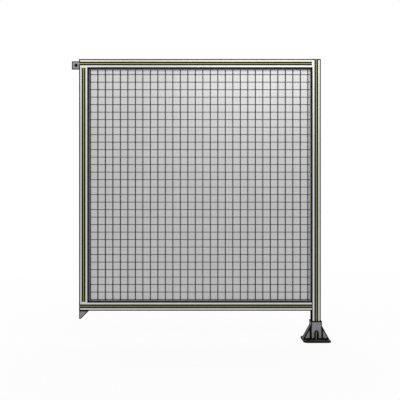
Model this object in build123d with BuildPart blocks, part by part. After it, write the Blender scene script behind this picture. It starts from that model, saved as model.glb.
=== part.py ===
from build123d import *
import os
from math import floor, sqrt

# Mesh fence panel of slotted aluminium profile: a full-height post in a cast foot, two rails
# and a short stile around a wire mesh on a thin sheet. The origin is on the foot's flat
# underside, on the post's axis. The panel runs from the post towards -X, its front faces -Y.

# Overall sizes
frame_width = 1200.0
frame_height = 1250.0
ground_gap = 150.0

# Slotted profile
profile_size = 45.0
profile_corner_radius = 2.0
slot_opening = 10.0
slot_mouth_bevel = 1.0
slot_lip = 4.5
slot_width = 20.0
slot_depth = 14.4
diagonal_web = 3.0
corner_cell_wall = 2.0
corner_cell_radius = 1.0
core_bore = 10.0
access_hole = 8.0

# Cover strip in the front and back slots
strip_fit = 0.2
strip_wall = 1.2
strip_barb = 1.2
strip_barb_height = 0.8
strip_leg_depth = 7.5

# Wire mesh and the sheet behind it
upright_wire_diameter = 4.0
cross_wire_diameter = 3.0
wire_pitch = 37.5
first_wire_inset = 7.0
wire_sides = 8
sheet_thickness = 1.0
infill_bite = 8.0

# Rubber gasket between the infill and the frame's inner slots
gasket_fit = 0.1
gasket_base = 1.0
gasket_base_gap = 0.5
gasket_lip_reach = 4.0
gasket_lip_height = 1.5
gasket_lip_tip = 0.6
gasket_lip_shoulder = 1.2

# Cast foot
flange_size = 135.0
flange_thickness = 8.0
flange_corner_radius = 20.0
flange_edge_bevel = 1.5
anchor_spacing = 88.0
anchor_hole = 12.5
post_fit = 0.1
collar_wall = 5.0
collar_corner_radius = 2.5
collar_rim_bevel = 1.0
collar_top = 100.0
rib_depth = 46.0
rib_top = 77.0
rib_toe_inset = 2.0
rib_edge_radius = 2.0
foot_slot_width = 12.0
foot_slot_top = 50.0

# Cast corner bracket under the bottom rail
bracket_drop = 40.0
bracket_reach = 42.6
bracket_depth = 42.0
bracket_wall = 5.0
bracket_cheek = 4.0
bracket_toe = 9.0
bracket_screw_hole = 8.5
bracket_edge_radius = 1.0
lug_fit = 0.2
lug_height = 2.0
lug_length = 8.0

# Flat joint plate behind the top rail
plate_height = 41.0
plate_overhang = 44.7
plate_overlap = 44.7
plate_thickness = 5.0
plate_corner_radius = 2.0
plate_hole = 9.0
plate_hole_offset = 24.1

# Places worked out from the sizes above
half_profile = profile_size / 2
post_height = ground_gap + frame_height
frame_left = half_profile - frame_width
rail_right = -half_profile
opening_left = frame_left + profile_size
opening_right = rail_right
opening_bottom = ground_gap + profile_size
opening_top = post_height - profile_size
opening_width = opening_right - opening_left
opening_height = opening_top - opening_bottom
top_rail_axis = post_height - half_profile
bottom_rail_axis = ground_gap + half_profile
stile_axis = frame_left + half_profile
opening_center_x = (opening_left + opening_right) / 2
opening_center_z = (opening_bottom + opening_top) / 2
infill_thickness = upright_wire_diameter + cross_wire_diameter + sheet_thickness
infill_front = -infill_thickness / 2
upright_wire_y = infill_front + upright_wire_diameter / 2
cross_wire_y = infill_front + upright_wire_diameter + cross_wire_diameter / 2
sheet_y = infill_thickness / 2 - sheet_thickness / 2

os.makedirs("parts", exist_ok=True)


def save(piece, name):
    """Labels a finished piece and writes it as its own file."""
    piece.part.label = name
    export_step(piece.part, f"parts/{name}.step")


# The slot is a T with a beveled mouth and 45 degree flanks that leave the diagonal webs.
flank_start = slot_width / 2 + diagonal_web / sqrt(2)
slot_floor = half_profile - slot_depth
floor_half_width = slot_floor - diagonal_web / sqrt(2)
slot_half_points = [
    (half_profile, slot_opening / 2 + slot_mouth_bevel),
    (half_profile - slot_mouth_bevel, slot_opening / 2),
    (half_profile - slot_lip, slot_opening / 2),
    (half_profile - slot_lip, slot_width / 2),
    (flank_start, slot_width / 2),
    (slot_floor, floor_half_width),
]
slot_points = slot_half_points + [(u, -v) for u, v in reversed(slot_half_points)]
cell_inner = slot_width / 2 + corner_cell_wall
cell_size = half_profile - corner_cell_wall - cell_inner
cell_center = cell_inner + cell_size / 2


def draw_profile_section():
    """Adds the slotted profile's section to the sketch that is open."""
    RectangleRounded(profile_size, profile_size, profile_corner_radius)
    with PolarLocations(0, 4):
        Polygon(*slot_points, align=None, mode=Mode.SUBTRACT)
    with GridLocations(2 * cell_center, 2 * cell_center, 2, 2):
        RectangleRounded(cell_size, cell_size, corner_cell_radius, mode=Mode.SUBTRACT)
    Circle(core_bore / 2, mode=Mode.SUBTRACT)


def draw_strip_section():
    """Adds the cover strip's section: its head fills the slot's mouth, flush with the face
    that looks along +X, and barbs on its two legs catch behind the slot's lips."""
    neck = slot_opening / 2 - strip_fit
    barb_top = half_profile - slot_lip
    leg_end = half_profile - strip_leg_depth
    half_points = [
        (half_profile, neck + slot_mouth_bevel),
        (half_profile - slot_mouth_bevel, neck),
        (barb_top, neck),
        (barb_top, neck + strip_barb),
        (barb_top - strip_barb_height, neck + strip_barb),
        (leg_end, neck),
        (leg_end, neck - strip_wall),
        (half_profile - strip_wall, neck - strip_wall),
    ]
    Polygon(*half_points, *[(u, -v) for u, v in reversed(half_points)], align=None)


# Post, rails and stile. A screw through the slots at each corner runs into the core bore of
# the member that butts there, and is reached through an access hole.
with BuildPart() as right_post:
    with BuildSketch(Plane.XY.offset(flange_thickness)):
        draw_profile_section()
    extrude(amount=post_height - flange_thickness)
    with BuildSketch(Plane.YZ):
        with Locations((0, bottom_rail_axis), (0, top_rail_axis)):
            Circle(access_hole / 2)
    extrude(amount=half_profile, both=True, mode=Mode.SUBTRACT)
save(right_post, "right_post")

rail_length = rail_right - frame_left
for rail_name, rail_axis in (("top_rail", top_rail_axis), ("bottom_rail", bottom_rail_axis)):
    rail_plane = Plane(origin=(frame_left, 0, rail_axis), x_dir=(0, 1, 0), z_dir=(1, 0, 0))
    with BuildPart() as rail:
        with BuildSketch(rail_plane):
            draw_profile_section()
        extrude(amount=rail_length)
        with BuildSketch(Plane.XY.offset(rail_axis)):
            with Locations((stile_axis, 0)):
                Circle(access_hole / 2)
        extrude(amount=half_profile, both=True, mode=Mode.SUBTRACT)
    save(rail, rail_name)

with BuildPart() as left_stile:
    with BuildSketch(Plane(origin=(stile_axis, 0, opening_bottom))):
        draw_profile_section()
    extrude(amount=opening_height)
save(left_stile, "left_stile")

# Cover strips in the front and back slots of each member. On the back, the top rail's strip
# stops at the joint plate, which needs the slot for its screw.
strip_runs = {
    "post": ((0, 0, flange_thickness), (0, 0, 1), post_height - flange_thickness),
    "stile": ((stile_axis, 0, opening_bottom), (0, 0, 1), opening_height),
    "bottom_rail": ((rail_right, 0, bottom_rail_axis), (-1, 0, 0), rail_length),
    "top_rail": ((rail_right, 0, top_rail_axis), (-1, 0, 0), rail_length),
}
for side_name, facing in (("front", -1), ("back", 1)):
    for member_name, (start, direction, length) in strip_runs.items():
        if side_name == "back" and member_name == "top_rail":
            length -= plate_overlap
        strip_plane = Plane(origin=start, x_dir=(0, facing, 0), z_dir=direction)
        with BuildPart() as cover_strip:
            with BuildSketch(strip_plane):
                draw_strip_section()
            extrude(amount=length)
        save(cover_strip, f"{side_name}_strip_{member_name}")

# Sheet behind the mesh. Its edges sit in the frame's inner slots.
infill_width = opening_width + 2 * infill_bite
infill_height = opening_height + 2 * infill_bite
with BuildPart() as backing_sheet:
    with Locations((opening_center_x, sheet_y, opening_center_z)):
        Box(infill_width, sheet_thickness, infill_height)
save(backing_sheet, "backing_sheet")

# Wire mesh: thick upright wires in front, thinner cross wires welded behind them. The first
# of each stands beside the frame's lower left inner corner.
upright_count = 1 + floor((opening_width - first_wire_inset) / wire_pitch)
cross_count = 1 + floor((opening_height - first_wire_inset) / wire_pitch)
flat_turn = 180 / wire_sides


def wire_row(plane, diameter, count, length):
    """Makes one row of parallel wires, a wire's flats facing the front and the back."""
    with BuildPart() as wires:
        with BuildSketch(plane):
            for index in range(count):
                with Locations((index * wire_pitch, 0)):
                    RegularPolygon(
                        diameter / 2, wire_sides, major_radius=False, rotation=flat_turn
                    )
        extrude(amount=length)
    return wires


first_upright = opening_left + first_wire_inset
first_cross = opening_bottom + first_wire_inset
upright_plane = Plane(
    origin=(first_upright, upright_wire_y, opening_bottom - infill_bite), z_dir=(0, 0, 1)
)
cross_plane = Plane(
    origin=(opening_left - infill_bite, cross_wire_y, first_cross),
    x_dir=(0, 0, 1),
    z_dir=(1, 0, 0),
)
upright_wires = wire_row(upright_plane, upright_wire_diameter, upright_count, infill_height)
cross_wires = wire_row(cross_plane, cross_wire_diameter, cross_count, infill_width)
save(upright_wires, "upright_wires")
save(cross_wires, "cross_wires")

# Gasket: a channel that grips the infill in the slot, with two lips on the member's face.
# u runs into the opening from the member's inner face, v from the front to the back.
channel_half = slot_opening / 2 - gasket_fit
lip_half = slot_opening / 2 + slot_mouth_bevel + gasket_lip_height / 2
channel_floor = -(infill_bite + gasket_base_gap)
gasket_half_points = [
    (gasket_lip_reach, infill_thickness / 2),
    (gasket_lip_reach, infill_thickness / 2 + gasket_lip_tip),
    (gasket_lip_shoulder, lip_half),
    (0, lip_half),
    (0, channel_half),
    (channel_floor - gasket_base, channel_half),
]
gasket_outer = gasket_half_points + [(u, -v) for u, v in reversed(gasket_half_points)]
gasket_channel = [(channel_floor, -infill_thickness / 2), (channel_floor, infill_thickness / 2)]
gasket_points = gasket_outer + gasket_channel

gasket_over_length = slot_depth
gasket_runs = {
    "left": ((opening_left, 0, opening_center_z), (1, 0, 0), opening_height),
    "right": ((opening_right, 0, opening_center_z), (-1, 0, 0), opening_height),
    "bottom": ((opening_center_x, 0, opening_bottom), (0, 0, 1), opening_width),
    "top": ((opening_center_x, 0, opening_top), (0, 0, -1), opening_width),
}
for side_name, (middle, inward, run) in gasket_runs.items():
    along = Vector(inward).cross(Vector(0, 1, 0))
    section_plane = Plane(origin=middle, x_dir=inward, z_dir=along)
    with BuildPart() as gasket:
        with BuildSketch(section_plane):
            Polygon(*gasket_points, align=None)
        extrude(amount=run / 2 + gasket_over_length, both=True)
        for end in (-1, 1):
            corner = Vector(middle) + along * (end * run / 2)
            miter = Plane(origin=corner, x_dir=(0, 1, 0), z_dir=along * end + Vector(inward))
            split(bisect_by=miter, keep=Keep.BOTTOM)
    save(gasket, f"{side_name}_gasket")

# Cast foot: a flange, a collar that the post slides into, and a wedge rib on each side
collar_inner = profile_size + 2 * post_fit
collar_outer = collar_inner + 2 * collar_wall
rib_toe = flange_size / 2 - rib_toe_inset
with BuildPart() as foot_ribs:
    with BuildSketch(Plane.XZ):
        with BuildLine():
            Polyline(
                (0, flange_thickness),
                (rib_toe, flange_thickness),
                (collar_outer / 2, rib_top),
                (0, rib_top),
                close=True,
            )
        make_face()
        mirror(about=Plane.YZ)
    extrude(amount=rib_depth / 2, both=True)
    for side in (-1, 1):
        run = side * (rib_toe - collar_outer / 2)
        slope = Axis((0, 0, 0), (run, 0, flange_thickness - rib_top))
        fillet(foot_ribs.edges().filter_by(slope), rib_edge_radius)

with BuildPart() as foot:
    with BuildSketch():
        RectangleRounded(flange_size, flange_size, flange_corner_radius)
    extrude(amount=flange_thickness)
    chamfer(foot.faces().sort_by(Axis.Z)[-1].edges(), flange_edge_bevel)
    with BuildSketch(Plane.XY.offset(flange_thickness)):
        RectangleRounded(collar_outer, collar_outer, collar_corner_radius)
    extrude(amount=collar_top - flange_thickness)
    chamfer(foot.faces().sort_by(Axis.Z)[-1].edges(), collar_rim_bevel)
    add(foot_ribs.part)
    with BuildSketch(Plane.XY.offset(flange_thickness)):
        Rectangle(collar_inner, collar_inner)
    extrude(amount=collar_top - flange_thickness, mode=Mode.SUBTRACT)
    with BuildSketch(Plane.XZ):
        with Locations((0, foot_slot_top - foot_slot_width / 2)):
            Circle(foot_slot_width / 2)
        with Locations((0, flange_thickness)):
            Rectangle(
                foot_slot_width,
                foot_slot_top - foot_slot_width / 2 - flange_thickness,
                align=(Align.CENTER, Align.MIN),
            )
    extrude(amount=collar_outer, both=True, mode=Mode.SUBTRACT)
    with Locations(Plane.XY.offset(flange_thickness)):
        with GridLocations(anchor_spacing, anchor_spacing, 2, 2):
            Hole(anchor_hole / 2)
save(foot, "foot")

# Corner bracket: two legs at a right angle with a cheek on the front and on the back
bracket_left = frame_left
bracket_top = ground_gap
bracket_end = bracket_drop - (bracket_reach - bracket_toe)
with BuildPart() as corner_bracket:
    with BuildSketch(Plane.XZ):
        with BuildLine():
            Polyline(
                (bracket_left, bracket_top),
                (bracket_left + bracket_reach, bracket_top),
                (bracket_left + bracket_reach, bracket_top - bracket_end),
                (bracket_left + bracket_toe, bracket_top - bracket_drop),
                (bracket_left, bracket_top - bracket_drop),
                close=True,
            )
        make_face()
    extrude(amount=bracket_depth / 2, both=True)
    fillet(corner_bracket.edges().filter_by(Axis.Y), bracket_edge_radius)
    with BuildSketch(Plane.XZ):
        with Locations((bracket_left + bracket_wall, bracket_top - bracket_wall)):
            Rectangle(bracket_reach, bracket_drop, align=(Align.MIN, Align.MAX))
    extrude(amount=bracket_depth / 2 - bracket_cheek, both=True, mode=Mode.SUBTRACT)
    leg_middle = bracket_top - (bracket_wall + bracket_drop) / 2
    with BuildSketch(Plane(origin=(bracket_left, 0, leg_middle), z_dir=(1, 0, 0))):
        Circle(bracket_screw_hole / 2)
    extrude(amount=bracket_wall, mode=Mode.SUBTRACT)
    seat_middle = bracket_left + (bracket_wall + bracket_reach) / 2
    with BuildSketch(Plane(origin=(seat_middle, 0, bracket_top), z_dir=(0, 0, -1))):
        Circle(bracket_screw_hole / 2)
    extrude(amount=bracket_wall, mode=Mode.SUBTRACT)
    with BuildSketch(Plane.XY.offset(bracket_top)):
        with Locations((seat_middle, 0)):
            with GridLocations(bracket_screw_hole + lug_length, 0, 2, 1):
                Rectangle(lug_length, slot_opening - 2 * lug_fit)
    extrude(amount=lug_height)
save(corner_bracket, "corner_bracket")

# Joint plate: one end on the back of the top rail, the other free for the next panel's post
plate_left = frame_left - plate_overhang
plate_length = plate_overhang + plate_overlap
plate_center = plate_left + plate_length / 2
plate_plane = Plane(
    origin=(plate_center, half_profile, top_rail_axis), x_dir=(1, 0, 0), z_dir=(0, 1, 0)
)
with BuildPart() as joint_plate:
    with BuildSketch(plate_plane):
        RectangleRounded(plate_length, plate_height, plate_corner_radius)
        with Locations(
            (frame_left - plate_hole_offset - plate_center, 0),
            (frame_left + plate_hole_offset - plate_center, 0),
        ):
            Circle(plate_hole / 2, mode=Mode.SUBTRACT)
    extrude(amount=plate_thickness)
save(joint_plate, "joint_plate")
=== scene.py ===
import random
from math import atan, cos, pi, radians

import bmesh
import bpy
from mathutils import Matrix, Vector


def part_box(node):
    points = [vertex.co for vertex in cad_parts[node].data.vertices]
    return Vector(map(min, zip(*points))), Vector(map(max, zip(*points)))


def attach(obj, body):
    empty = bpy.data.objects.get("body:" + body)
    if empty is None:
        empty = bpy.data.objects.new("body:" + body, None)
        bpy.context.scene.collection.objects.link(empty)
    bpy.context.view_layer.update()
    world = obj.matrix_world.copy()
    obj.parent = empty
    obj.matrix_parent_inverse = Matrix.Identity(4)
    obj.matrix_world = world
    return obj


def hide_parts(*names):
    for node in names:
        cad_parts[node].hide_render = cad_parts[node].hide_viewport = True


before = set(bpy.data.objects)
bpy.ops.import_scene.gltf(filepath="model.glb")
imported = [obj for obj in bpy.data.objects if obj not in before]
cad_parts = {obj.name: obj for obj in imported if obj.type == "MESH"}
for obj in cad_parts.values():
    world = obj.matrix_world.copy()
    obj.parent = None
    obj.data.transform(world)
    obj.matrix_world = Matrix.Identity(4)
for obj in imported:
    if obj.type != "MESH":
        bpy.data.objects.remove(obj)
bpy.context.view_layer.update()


# Camera: level and square to the panel's front, at the middle of its width and of its height.
# The depth of the profiles shows as it does from 3.17 m in front of them.
top_rail_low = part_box("top_rail")[0]
post_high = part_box("right_post")[1]
view_distance = 3.17
view_half_width = 0.9924
view_middle_x = -0.5772
view_middle_z = post_high[2] / 2

camera_data = bpy.data.cameras.new("front_camera")
camera_data.sensor_width = 36.0
camera_data.angle = 2 * atan(view_half_width / view_distance)
camera = bpy.data.objects.new("front_camera", camera_data)
camera.location = (view_middle_x, top_rail_low[1] - view_distance, view_middle_z)
camera.rotation_euler = (radians(90), 0, 0)
bpy.context.scene.collection.objects.link(camera)
bpy.context.scene.camera = camera
bpy.context.scene.view_settings.view_transform = "Standard"


# Studio: white surroundings and a matt white floor, with soft lamps high in front that give
# the metal its sheen along the top, strongest at the right, and one lamp behind.
def hex_color(code):
    """A colour written as sRGB hex, as the linear values that shaders take."""
    levels = [int(code[place : place + 2], 16) / 255 for place in (1, 3, 5)]
    linear = [v / 12.92 if v <= 0.04045 else ((v + 0.055) / 1.055) ** 2.4 for v in levels]
    return (*linear, 1.0)


def add_node(tree, kind, settings):
    """Adds a node. Each setting is a property or an input, and a node or socket is linked."""
    node = tree.nodes.new(kind)
    for name, value in settings.items():
        if isinstance(value, bpy.types.Node):
            value = value.outputs[0]
        if isinstance(value, bpy.types.NodeSocket):
            tree.links.new(value, node.inputs[name])
        elif isinstance(name, str) and hasattr(node, name):
            setattr(node, name, value)
        else:
            node.inputs[name].default_value = value
    return node


def add_seen_share(tree):
    """1 for rays that show a surface to the eye: straight, mirrored or through glass."""
    rays = add_node(tree, "ShaderNodeLightPath", {}).outputs
    mirrored = add_node(
        tree,
        "ShaderNodeMath",
        {"operation": "MAXIMUM", 0: rays["Is Camera Ray"], 1: rays["Is Glossy Ray"]},
    )
    seen = add_node(
        tree,
        "ShaderNodeMath",
        {"operation": "MAXIMUM", 0: mirrored, 1: rays["Is Transmission Ray"]},
    )
    return seen


ambient_strength = 0.8
world = bpy.data.worlds.new("white_studio")
bpy.context.scene.world = world
world.use_nodes = True
world.node_tree.nodes.clear()
world_strength = add_node(
    world.node_tree,
    "ShaderNodeMapRange",
    {"Value": add_seen_share(world.node_tree), "To Min": ambient_strength, "To Max": 1.0},
)
world_light = add_node(
    world.node_tree,
    "ShaderNodeBackground",
    {"Color": hex_color("#FFFFFF"), "Strength": world_strength},
)
add_node(world.node_tree, "ShaderNodeOutputWorld", {"Surface": world_light})

floor_size = 14.0
floor_glow = 0.88
shadow_reach = 1.6
white_reach = 4.0
floor_mesh = bpy.data.meshes.new("studio_floor")
floor_shape = bmesh.new()
bmesh.ops.create_grid(floor_shape, x_segments=1, y_segments=1, size=floor_size / 2)
floor_shape.to_mesh(floor_mesh)
floor_shape.free()
studio_floor = bpy.data.objects.new("studio_floor", floor_mesh)
bpy.context.scene.collection.objects.link(studio_floor)

floor_paint = bpy.data.materials.new("matt white studio paint")
floor_paint.use_nodes = True
paint = floor_paint.node_tree
paint.nodes.clear()
floor_place = add_node(paint, "ShaderNodeTexCoord", {}).outputs["Object"]
floor_distance = add_node(
    paint, "ShaderNodeVectorMath", {"operation": "LENGTH", 0: floor_place}
)
floor_fade = add_node(
    paint,
    "ShaderNodeMapRange",
    {
        "Value": floor_distance.outputs["Value"],
        "From Min": shadow_reach,
        "From Max": white_reach,
        "To Min": floor_glow,
        "To Max": 1.0,
    },
)
floor_share = add_node(
    paint,
    "ShaderNodeMath",
    {"operation": "MULTIPLY", 0: add_seen_share(paint), 1: floor_fade},
)
floor_matt = add_node(paint, "ShaderNodeBsdfDiffuse", {"Color": hex_color("#F9F9F9")})
floor_white = add_node(paint, "ShaderNodeEmission", {"Color": hex_color("#FFFFFF")})
floor_mix = add_node(
    paint,
    "ShaderNodeMixShader",
    {"Fac": floor_share, 1: floor_matt, 2: floor_white},
)
add_node(paint, "ShaderNodeOutputMaterial", {"Surface": floor_mix})
floor_mesh.materials.append(floor_paint)

lamp_target = Vector((view_middle_x, 0.0, 1.0))
for name, place, size, power in (
    ("right_lamp", Vector((0.15, -3.4, 2.75)), 2.0, 20.5),
    ("left_lamp", Vector((-2.1, -3.4, 2.6)), 1.0, 6.5),
    ("back_lamp", Vector((-0.5, 3.4, 2.7)), 1.6, 24.0),
):
    lamp_data = bpy.data.lights.new(name, "AREA")
    lamp_data.shape = "SQUARE"
    lamp_data.size = size
    lamp_data.energy = power
    lamp = bpy.data.objects.new(name, lamp_data)
    lamp.location = place
    lamp.rotation_euler = (lamp_target - place).to_track_quat("-Z", "Y").to_euler()
    bpy.context.scene.collection.objects.link(lamp)


# Post, rails and stile: extruded aluminium of 45 mm with a slot in each side, anodised to an
# even satin grey. The photo draws a black line along each edge and slot mouth.
MM = 0.001
stile_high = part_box("left_stile")[1]
post_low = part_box("right_post")[0]
bottom_rail_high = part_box("bottom_rail")[1]
opening_middle = Vector(
    (
        (stile_high[0] + post_low[0]) / 2,
        0.0,
        (bottom_rail_high[2] + top_rail_low[2]) / 2,
    )
)
opening_half_width = (post_low[0] - stile_high[0]) / 2
opening_half_height = (top_rail_low[2] - bottom_rail_high[2]) / 2
half_profile = post_high[1]
strip_low, strip_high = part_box("front_strip_post")
slot_mouth = strip_high[0] - strip_low[0]
# Painted shade and painted lines: the black at the slot mouths and on the side that faces the mesh
# stands in for the shade there, and the black along the edges is a painted dark line.
edge_line = 4.3 * MM
outline_spare = 1.3 * MM
mouth_line = 3.5 * MM
line_blur = 0.2 * MM
side_margin = 0.3 * MM
painted_line_black = "#080808"
die_line_stretch = 400.0
grain_low = 0.3
grain_high = 0.7
bump_strength = 0.5


def start_material(name):
    """An empty material, its tree and the Object coordinates that its patterns read."""
    material = bpy.data.materials.new(name)
    material.use_nodes = True
    tree = material.node_tree
    tree.nodes.clear()
    place = add_node(tree, "ShaderNodeTexCoord", {}).outputs["Object"]
    return material, tree, place


def finish_material(tree, settings):
    """Closes the tree with a Principled shader of these settings."""
    shader = add_node(tree, "ShaderNodeBsdfPrincipled", settings)
    add_node(tree, "ShaderNodeOutputMaterial", {"Surface": shader})


def add_grain(tree, place, size, stretch=(1.0, 1.0, 1.0), detail=2.0):
    """Noise with grains about one size across, drawn out along an axis by stretch.

    Real die lines, roll marks, brushing and blasting are finer than the sizes given here.
    They are drawn this coarse so that they show from close up.
    """
    drawn_out = add_node(
        tree,
        "ShaderNodeMapping",
        {"Vector": place, "Scale": [1 / factor for factor in stretch]},
    )
    noise = add_node(
        tree,
        "ShaderNodeTexNoise",
        {"Vector": drawn_out, "Scale": 1 / size, "Detail": detail},
    )
    return noise


def add_surface(tree, grain, roughness, depth):
    """Roughness between two values and a bump of this depth, which both follow one grain."""
    low, high = roughness
    rough = add_node(
        tree,
        "ShaderNodeMapRange",
        {
            "Value": grain,
            "From Min": grain_low,
            "From Max": grain_high,
            "To Min": low,
            "To Max": high,
        },
    )
    bump = add_node(
        tree, "ShaderNodeBump", {"Height": grain, "Strength": bump_strength, "Distance": depth}
    )
    return {"Roughness": rough, "Normal": bump}


def add_distances(tree, place, has_leg):
    """How far a point lies out of the mesh's opening: sideways, in height, and the larger."""
    math_node = "ShaderNodeMath"
    offset = add_node(
        tree, "ShaderNodeVectorMath", {"operation": "SUBTRACT", 0: place, 1: opening_middle}
    )
    axes = add_node(tree, "ShaderNodeSeparateXYZ", {"Vector": offset}).outputs
    aside = add_node(tree, math_node, {"operation": "ABSOLUTE", 0: axes["X"]})
    beside = add_node(tree, math_node, {"operation": "SUBTRACT", 0: aside, 1: opening_half_width})
    # A leg runs on below the frame, so only its upper end is a corner of the frame.
    height = axes["Z"]
    if not has_leg:
        height = add_node(tree, math_node, {"operation": "ABSOLUTE", 0: height})
    above = add_node(tree, math_node, {"operation": "SUBTRACT", 0: height, 1: opening_half_height})
    outer = add_node(tree, math_node, {"operation": "MAXIMUM", 0: beside, 1: above})
    return beside, above, outer


def make_profile_metal(member):
    """Anodised aluminium with faint die lines, black along its edges and slot mouths."""
    material, tree, place = start_material(f"anodised extruded aluminium, {member}")
    math_node = "ShaderNodeMath"
    along = 0 if "rail" in member else 2
    beside, above, outer = add_distances(tree, place, member == "right_post")
    axes = add_node(tree, "ShaderNodeSeparateXYZ", {"Vector": place}).outputs
    depth = add_node(tree, math_node, {"operation": "ABSOLUTE", 0: axes["Y"]})

    # How far a point is from the frame's centre line, and from the member's own one. Outside
    # the frame's line the spare is added, so the black is wider along the outer edge.
    outward = add_node(
        tree, math_node, {"operation": "SUBTRACT", 0: outer, 1: half_profile - outline_spare}
    )
    inward = add_node(tree, math_node, {"operation": "SUBTRACT", 0: half_profile, 1: outer})
    from_frame = add_node(tree, math_node, {"operation": "MAXIMUM", 0: outward, 1: inward})
    member_line = add_node(
        tree,
        math_node,
        {"operation": "SUBTRACT", 0: above if along == 0 else beside, 1: half_profile},
    )
    from_member = add_node(tree, math_node, {"operation": "ABSOLUTE", 0: member_line})

    # Bare metal is past the line at the edge and past the one at the mouth, or in the slot.
    # The side that faces the mesh is black all over, as in the photo.
    # The black is painted: painted shade in the slot mouths and on the side facing the mesh, and
    # painted dark lines along the edges.
    edge_depth = add_node(tree, math_node, {"operation": "MINIMUM", 0: from_frame, 1: depth})
    past_edge = add_node(
        tree, math_node, {"operation": "SUBTRACT", 0: half_profile - edge_line, 1: edge_depth}
    )
    mouth_depth = add_node(tree, math_node, {"operation": "MINIMUM", 0: from_member, 1: depth})
    past_mouth = add_node(
        tree, math_node, {"operation": "SUBTRACT", 0: mouth_depth, 1: slot_mouth / 2 + mouth_line}
    )
    face_depth = add_node(tree, math_node, {"operation": "MAXIMUM", 0: from_member, 1: depth})
    in_slot = add_node(
        tree, math_node, {"operation": "SUBTRACT", 0: half_profile - mouth_line, 1: face_depth}
    )
    past_both = add_node(tree, math_node, {"operation": "MINIMUM", 0: past_edge, 1: past_mouth})
    off_side = add_node(tree, math_node, {"operation": "SUBTRACT", 0: outer, 1: side_margin})
    on_face = add_node(tree, math_node, {"operation": "MINIMUM", 0: past_both, 1: off_side})
    past_lines = add_node(tree, math_node, {"operation": "MAXIMUM", 0: on_face, 1: in_slot})
    bare = add_node(
        tree,
        "ShaderNodeMapRange",
        {"Value": past_lines, "From Min": -line_blur, "From Max": line_blur},
    )

    metal = add_node(
        tree,
        "ShaderNodeMix",
        {
            "data_type": "RGBA",
            "Factor": add_grain(tree, place, 90 * MM),
            "A": hex_color("#BFBFBF"),
            "B": hex_color("#CBCBCB"),
        },
    )
    lined = add_node(
        tree,
        "ShaderNodeMix",
        {
            "data_type": "RGBA",
            "Factor": bare,
            "A": hex_color(painted_line_black),
            "B": metal.outputs["Result"],
        },
    )
    stretch = (die_line_stretch, 1, 1) if along == 0 else (1, 1, die_line_stretch)
    die_lines = add_grain(tree, place, 1.2 * MM, stretch, 3.0)
    finish_material(
        tree,
        {
            "Base Color": lined.outputs["Result"],
            "Metallic": bare,
            "Specular IOR Level": 0.0,
            "Specular Tint": hex_color("#484848"),
            **add_surface(tree, die_lines, (0.28, 0.36), 0.03 * MM),
        },
    )
    return material


def dress_node(name, material):
    """Gives a CAD node its material."""
    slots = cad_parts[name].data.materials
    slots.clear()
    slots.append(material)


for member in ("right_post", "left_stile", "top_rail", "bottom_rail"):
    dress_node(member, make_profile_metal(member))


# Cover strips: olive PVC clipped into the front and back slots, closing the slot's mouth. Along
# each edge the strip is painted black, as painted shade in the mouth.
olive_width = 4.6 * MM
gap_shade_black = "#040404"
top_light_share = 0.7
streak_share = 0.3


def make_strip_plastic(member):
    """Olive PVC, painted black from the middle band to the edges as painted shade."""
    material, tree, place = start_material(f"olive PVC with painted shade edges, {member}")
    low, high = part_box(f"front_strip_{member}")
    across = 2 if "rail" in member else 0
    axes = add_node(tree, "ShaderNodeSeparateXYZ", {"Vector": place}).outputs
    in_middle = add_node(
        tree,
        "ShaderNodeMath",
        {
            "operation": "COMPARE",
            0: axes[across],
            1: (low[across] + high[across]) / 2,
            2: olive_width / 2,
        },
    )
    stretch = (die_line_stretch, 1, 1) if across == 2 else (1, 1, die_line_stretch)
    streaks = add_grain(tree, place, 0.8 * MM, stretch)
    # Painted light: the olive is painted paler toward the top, where the light falls brighter.
    top_light = add_node(
        tree,
        "ShaderNodeMapRange",
        {
            "Value": axes["Z"],
            "From Min": post_high[2] / 2,
            "From Max": post_high[2],
            "To Max": top_light_share,
        },
    )
    streaks_and_light = add_node(
        tree,
        "ShaderNodeMath",
        {"operation": "MULTIPLY_ADD", 0: streaks, 1: streak_share, 2: top_light},
    )
    olive = add_node(
        tree,
        "ShaderNodeMix",
        {
            "data_type": "RGBA",
            "Factor": streaks_and_light,
            "A": hex_color("#727233"),
            "B": hex_color("#A6A64C"),
        },
    )
    # Painted shade: the edges outside the olive band are black.
    colored = add_node(
        tree,
        "ShaderNodeMix",
        {
            "data_type": "RGBA",
            "Factor": in_middle,
            "A": hex_color(gap_shade_black),
            "B": olive.outputs["Result"],
        },
    )
    finish_material(
        tree,
        {
            "Base Color": colored.outputs["Result"],
            "Specular IOR Level": 0.15,
            **add_surface(tree, streaks, (0.35, 0.45), 0.02 * MM),
        },
    )
    return material


for member in ("post", "stile", "top_rail", "bottom_rail"):
    strip_plastic = make_strip_plastic(member)
    dress_node(f"front_strip_{member}", strip_plastic)
    dress_node(f"back_strip_{member}", strip_plastic)


# Gasket: grey EPDM rubber, cut to four mitred lengths and pressed into the frame's inner
# slots, where its lips grip the mesh and the sheet.
lip_root = 1.5 * MM


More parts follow.
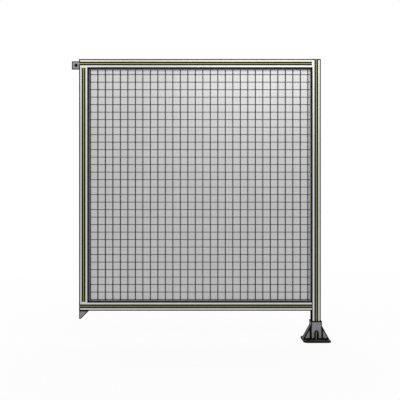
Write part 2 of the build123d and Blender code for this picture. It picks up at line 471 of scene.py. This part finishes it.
def make_gasket_rubber():
    """EPDM rubber: a mid grey, matt, with a soft bloom, painted black as shade where a lip meets
    the frame.
    """
    material, tree, place = start_material("grey EPDM rubber, extruded")
    bloom = add_node(
        tree,
        "ShaderNodeMix",
        {
            "data_type": "RGBA",
            "Factor": add_grain(tree, place, 12 * MM, detail=4.0),
            "A": hex_color("#8A8A8A"),
            "B": hex_color("#9A9A9A"),
        },
    )
    outer = add_distances(tree, place, False)[2]
    # Painted shade: black in the crease where the lip meets the frame.
    past_root = add_node(
        tree, "ShaderNodeMath", {"operation": "SUBTRACT", 0: -lip_root, 1: outer}
    )
    bare = add_node(
        tree,
        "ShaderNodeMapRange",
        {"Value": past_root, "From Min": -line_blur, "From Max": line_blur},
    )
    lined = add_node(
        tree,
        "ShaderNodeMix",
        {
            "data_type": "RGBA",
            "Factor": bare,
            "A": hex_color(painted_line_black),
            "B": bloom.outputs["Result"],
        },
    )
    finish_material(
        tree,
        {
            "Base Color": lined.outputs["Result"],
            "Specular IOR Level": 0.05,
            **add_surface(tree, add_grain(tree, place, 0.6 * MM), (0.65, 0.75), 0.03 * MM),
        },
    )
    return material


gasket_rubber = make_gasket_rubber()
for side in ("top", "bottom", "left", "right"):
    dress_node(f"{side}_gasket", gasket_rubber)


# Wire mesh: round steel wires, the uprights thicker and in front, welded where they cross
# and dipped in a black coat. Its edges stand in the gasket.
wire_pitch = 37.5 * MM
wire_sides = 12
weld_reach = 2.4 * MM
weld_half_height = 0.8 * MM
weld_swell = (0.9, 1.1)


def make_wire_coat():
    """A black dipped coat: a dull gloss, uneven where it ran."""
    material, tree, place = start_material("black coated steel wire")
    runs = add_node(
        tree,
        "ShaderNodeMix",
        {
            "data_type": "RGBA",
            "Factor": add_grain(tree, place, 4 * MM, detail=3.0),
            "A": hex_color("#0C0C0C"),
            "B": hex_color("#1E1E1E"),
        },
    )
    finish_material(
        tree,
        {
            "Base Color": runs.outputs["Result"],
            "Specular IOR Level": 0.25,
            **add_surface(tree, add_grain(tree, place, 0.8 * MM), (0.4, 0.55), 0.05 * MM),
        },
    )
    return material


wire_coat = make_wire_coat()


def add_piece(name, shape, material, slot_name, *nodes):
    """Makes a piece of a bmesh, on the panel's one body, for the CAD nodes it stands for."""
    mesh = bpy.data.meshes.new(name)
    shape.to_mesh(mesh)
    shape.free()
    mesh.materials.append(material)
    piece = bpy.data.objects.new(name, mesh)
    bpy.context.scene.collection.objects.link(piece)
    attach(piece, "root")
    if nodes:
        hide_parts(*nodes)


def add_wire_row(name, node, across, turn):
    """Round wires in place of the node's bars, and the places of their centre lines."""
    low, high = (Vector(corner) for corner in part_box(node))
    radius = (high.y - low.y) / 2
    length = (high - low)[2 - across]
    count = 1 + round((high[across] - low[across] - 2 * radius) / wire_pitch)
    middle = (low + high) / 2
    places = []
    shape = bmesh.new()
    for index in range(count):
        middle[across] = low[across] + radius + index * wire_pitch
        places.append(middle[across])
        bmesh.ops.create_cone(
            shape,
            cap_ends=True,
            segments=wire_sides,
            radius1=radius,
            radius2=radius,
            depth=length,
            matrix=Matrix.Translation(middle) @ turn,
        )
    for face in shape.faces:
        face.smooth = len(face.verts) == 4
    add_piece(name, shape, wire_coat, "wire", node)
    return places


lying = Matrix.Rotation(pi / 2, 4, "Y")
upright_places = add_wire_row("round_upright_wires", "upright_wires", 0, Matrix())
cross_places = add_wire_row("round_cross_wires", "cross_wires", 2, lying)

weld_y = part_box("upright_wires")[1][1]
weld_random = random.Random(7)
weld_beads = bmesh.new()
for x in upright_places:
    for z in cross_places:
        swell = weld_random.uniform(*weld_swell)
        bmesh.ops.create_icosphere(
            weld_beads,
            subdivisions=1,
            radius=weld_reach * swell,
            matrix=Matrix.Translation((x, weld_y, z))
            @ Matrix.Diagonal((1.0, weld_half_height / weld_reach, 1.0, 1.0)),
        )
for face in weld_beads.faces:
    face.smooth = True
add_piece("weld_beads", weld_beads, wire_coat, "wire")


# Backing sheet: thin aluminium sheet behind the mesh, as rolled, pale grey and matt. The
# photo shows no white between the wires, so the mesh isn't open to the back.
def make_sheet_metal():
    """Rolled aluminium: faintly cloudy, with fine roll marks up the sheet."""
    material, tree, place = start_material("rolled aluminium sheet")
    roll_marks = add_grain(tree, place, 0.9 * MM, (1.0, 1.0, 60.0))
    cloud = add_node(
        tree,
        "ShaderNodeMix",
        {
            "data_type": "RGBA",
            "Factor": add_grain(tree, place, 120 * MM, detail=3.0),
            "A": hex_color("#B6B6B6"),
            "B": hex_color("#C0C0C0"),
        },
    )
    finish_material(
        tree,
        {
            "Base Color": cloud.outputs["Result"],
            "Metallic": 1.0,
            **add_surface(tree, roll_marks, (0.32, 0.4), 0.02 * MM),
        },
    )
    return material


dress_node("backing_sheet", make_sheet_metal())


# Foot and corner bracket: die-cast aluminium, blasted and coated mid grey. The post stands
# in the foot's collar, and the bracket is screwed under the bottom rail's free end.
corner_reach = 9.0 * MM
ray_count = 32
wall_share = 0.97
normal_limits = {"From Min": 0.965, "From Max": 0.985}
ray_limits = {"From Min": 0.92, "From Max": 0.99}
foot_wall = 5.0 * MM
foot_rounding = 15.0 * MM
bracket_wall = 4.0 * MM
bracket_rounding = 11.0 * MM
flange_top = 8.0 * MM
flange_dark_fade = 3.0 * MM
flange_dark_share = 0.25
upward_shade_share = 0.3
slope_limits = {"From Min": 0.2, "From Max": 0.4}


def add_open_share(tree, wall, rounding):
    """1 on open faces, 0 along edges and in inner corners, on a piece of this thickness. Where it
    is 0 the piece is painted black: painted shade in the inner corners and a painted dark line
    along the edges.

    A normal rounded over this reach turns away near an edge. Rays sent inside for less than
    the wall meet only the side next to an edge, and rays sent outside meet the other side
    of a corner.
    """
    rounded = add_node(tree, "ShaderNodeBevel", {"samples": ray_count, "Radius": rounding})
    facing = add_node(tree, "ShaderNodeNewGeometry", {}).outputs["True Normal"]
    turned = add_node(
        tree, "ShaderNodeVectorMath", {"operation": "DOT_PRODUCT", 0: rounded, 1: facing}
    )
    unturned = add_node(
        tree, "ShaderNodeMapRange", {"Value": turned.outputs["Value"], **normal_limits}
    )
    rays = {"only_local": True, "samples": ray_count}
    inward = add_node(
        tree,
        "ShaderNodeAmbientOcclusion",
        {"inside": True, "Distance": wall_share * wall, **rays},
    )
    outward = add_node(tree, "ShaderNodeAmbientOcclusion", {"Distance": corner_reach, **rays})
    free = add_node(
        tree,
        "ShaderNodeMath",
        {"operation": "MINIMUM", 0: inward.outputs["AO"], 1: outward.outputs["AO"]},
    )
    unmet = add_node(tree, "ShaderNodeMapRange", {"Value": free, **ray_limits})
    return add_node(tree, "ShaderNodeMath", {"operation": "MINIMUM", 0: unturned, 1: unmet})


def make_casting_grey(piece, wall, rounding):
    """Coated die casting: a mid grey with the fine tooth of a blasted skin, painted black along
    edges and in inner corners.
    """
    material, tree, place = start_material(f"grey coated die casting, {piece}")
    grey = add_node(
        tree,
        "ShaderNodeMix",
        {
            "data_type": "RGBA",
            "Factor": add_grain(tree, place, 6 * MM, detail=4.0),
            "A": hex_color("#808080"),
            "B": hex_color("#8E8E8E"),
        },
    )
    # The flange is painted darker, up to just above its top, and each face that looks up, such as
    # the tops of the ribs, is painted darker as painted shade.
    height = add_node(tree, "ShaderNodeSeparateXYZ", {"Vector": place}).outputs["Z"]
    above_flange = add_node(
        tree,
        "ShaderNodeMapRange",
        {
            "Value": height,
            "From Min": flange_top,
            "From Max": flange_top + flange_dark_fade,
            "To Min": flange_dark_share,
        },
    )
    facing = add_node(tree, "ShaderNodeNewGeometry", {}).outputs["True Normal"]
    upward = add_node(tree, "ShaderNodeSeparateXYZ", {"Vector": facing}).outputs["Z"]
    upward_unshaded = add_node(
        tree,
        "ShaderNodeMapRange",
        {"Value": upward, **slope_limits, "To Min": 1.0, "To Max": upward_shade_share},
    )
    undarkened = add_node(
        tree, "ShaderNodeMath", {"operation": "MINIMUM", 0: above_flange, 1: upward_unshaded}
    )
    # Painted shade and painted lines: black in inner corners and along edges.
    open_share = add_open_share(tree, wall, rounding)
    bare = add_node(tree, "ShaderNodeMath", {"operation": "MINIMUM", 0: open_share, 1: undarkened})
    lined = add_node(
        tree,
        "ShaderNodeMix",
        {
            "data_type": "RGBA",
            "Factor": bare,
            "A": hex_color(painted_line_black),
            "B": grey.outputs["Result"],
        },
    )
    finish_material(
        tree,
        {
            "Base Color": lined.outputs["Result"],
            "Specular IOR Level": 0.04,
            **add_surface(tree, add_grain(tree, place, 0.7 * MM), (0.5, 0.62), 0.08 * MM),
        },
    )
    return material


dress_node("foot", make_casting_grey("foot", foot_wall, foot_rounding))
bracket_grey = make_casting_grey("corner_bracket", bracket_wall, bracket_rounding)
dress_node("corner_bracket", bracket_grey)


# Joint plate: cut steel plate, zinc plated, screwed to the back of the top rail's free end
# and ready for the next panel's post.
plate_low, plate_high = (Vector(corner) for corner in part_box("joint_plate"))
plate_thickness = plate_high.y - plate_low.y
plate_rounding = 11.0 * MM


def make_plate_zinc():
    """Zinc plating: a cool mid grey with soft spangle and a light brushed grain."""
    material, tree, place = start_material("zinc plated steel")
    # Painted shade and painted lines: black in inner corners and along edges.
    bare = add_open_share(tree, plate_thickness, plate_rounding)
    zinc = add_node(
        tree,
        "ShaderNodeMix",
        {
            "data_type": "RGBA",
            "Factor": add_grain(tree, place, 5 * MM, detail=4.0),
            "A": hex_color("#78787A"),
            "B": hex_color("#929294"),
        },
    )
    lined = add_node(
        tree,
        "ShaderNodeMix",
        {
            "data_type": "RGBA",
            "Factor": bare,
            "A": hex_color(painted_line_black),
            "B": zinc.outputs["Result"],
        },
    )
    brushing = add_grain(tree, place, 0.5 * MM, (30.0, 1.0, 1.0))
    finish_material(
        tree,
        {
            "Base Color": lined.outputs["Result"],
            "Metallic": bare,
            "Specular IOR Level": 0.0,
            **add_surface(tree, brushing, (0.32, 0.44), 0.03 * MM),
        },
    )
    return material


dress_node("joint_plate", make_plate_zinc())


# Screws: M8 button heads in black oxide. Two go through the plate, one into the rail's slot
# and one for the next post, and a third goes up through the bracket into the bottom rail.
screw_radius = 4.0 * MM
thread_pitch = 1.25 * MM
thread_depth = 0.6 * MM
head_radius = 7.0 * MM
head_height = 4.4 * MM
head_crown = 3.2 * MM
socket_width = 5.0 * MM
socket_depth = 2.6 * MM


def make_black_oxide():
    """Black oxide on steel: deep black with an oily sheen."""
    material, tree, place = start_material("black oxide steel")
    oil = add_grain(tree, place, 2 * MM, detail=3.0)
    black = add_node(
        tree,
        "ShaderNodeMix",
        {
            "data_type": "RGBA",
            "Factor": oil,
            "A": hex_color("#1C1C1C"),
            "B": hex_color("#2C2C2C"),
        },
    )
    finish_material(
        tree,
        {
            "Base Color": black.outputs["Result"],
            "Metallic": 1.0,
            **add_surface(tree, oil, (0.32, 0.5), 0.02 * MM),
        },
    )
    return material


black_oxide = make_black_oxide()


def add_screw(name, seat, outward, shank_length):
    """A button-head screw: its head stands outward from the seat, its thread goes inward."""
    shape = bmesh.new()
    cylinder = {"cap_ends": True, "segments": 32}
    bmesh.ops.create_cone(
        shape,
        radius1=head_radius,
        radius2=head_radius,
        depth=head_height,
        matrix=Matrix.Translation((0, 0, head_height / 2)),
        **cylinder,
    )
    crown = max(shape.faces, key=lambda face: face.calc_center_median().z)
    bmesh.ops.bevel(
        shape,
        geom=list(crown.edges),
        offset=head_crown,
        affect="EDGES",
        segments=5,
        profile=0.5,
        material=-1,
    )
    for face in shape.faces:
        face.smooth = True
    crown = max(shape.faces, key=lambda face: face.calc_center_median().z)
    crown_edges = list(crown.edges)
    bmesh.ops.delete(shape, geom=[crown], context="FACES_ONLY")
    socket = bmesh.ops.create_circle(
        shape,
        segments=6,
        radius=socket_width / 2 / cos(pi / 6),
        matrix=Matrix.Translation((0, 0, head_height)),
    )["verts"]
    rim = [edge for edge in shape.edges if all(vert in socket for vert in edge.verts)]
    bmesh.ops.bridge_loops(shape, edges=crown_edges + rim)
    wall = bmesh.ops.extrude_edge_only(shape, edges=rim)["geom"]
    sunk = [part for part in wall if isinstance(part, bmesh.types.BMVert)]
    bmesh.ops.translate(shape, verts=sunk, vec=(0, 0, -socket_depth))
    bmesh.ops.contextual_create(shape, geom=sunk)

    # Each turn of the thread is a ridge of two cones, the lower one first.
    turns = round(shank_length / thread_pitch)
    for turn in range(turns):
        for low_cut, high_cut, middle in ((thread_depth, 0.0, 0.75), (0.0, thread_depth, 0.25)):
            bmesh.ops.create_cone(
                shape,
                radius1=screw_radius - low_cut,
                radius2=screw_radius - high_cut,
                depth=thread_pitch / 2,
                matrix=Matrix.Translation((0, 0, -(turn + middle) * thread_pitch)),
                **cylinder,
            )
    bmesh.ops.recalc_face_normals(shape, faces=shape.faces)
    turned = Vector(outward).to_track_quat("Z", "Y").to_matrix().to_4x4()
    shape.transform(Matrix.Translation(seat) @ turned)
    add_piece(name, shape, black_oxide, "plate")


plate_middle = (plate_low + plate_high) / 2
plate_hole_offset = 24.1 * MM
for name, offset, reach in (
    ("plate_screw_rail", plate_hole_offset, 7 * MM),
    ("plate_screw_free", -plate_hole_offset, 11 * MM),
):
    seat = (plate_middle.x + offset, plate_high.y, plate_middle.z)
    add_screw(name, seat, (0, 1, 0), plate_thickness + reach)

bracket_low, bracket_high = (Vector(corner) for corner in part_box("corner_bracket"))
bracket_floor = 5 * MM
bracket_lug = 2 * MM
bracket_seat = (
    (bracket_low.x + bracket_floor + bracket_high.x) / 2,
    (bracket_low.y + bracket_high.y) / 2,
    bracket_high.z - bracket_lug - bracket_floor,
)
add_screw("bracket_screw", bracket_seat, (0, 0, -1), bracket_floor + 7 * MM)
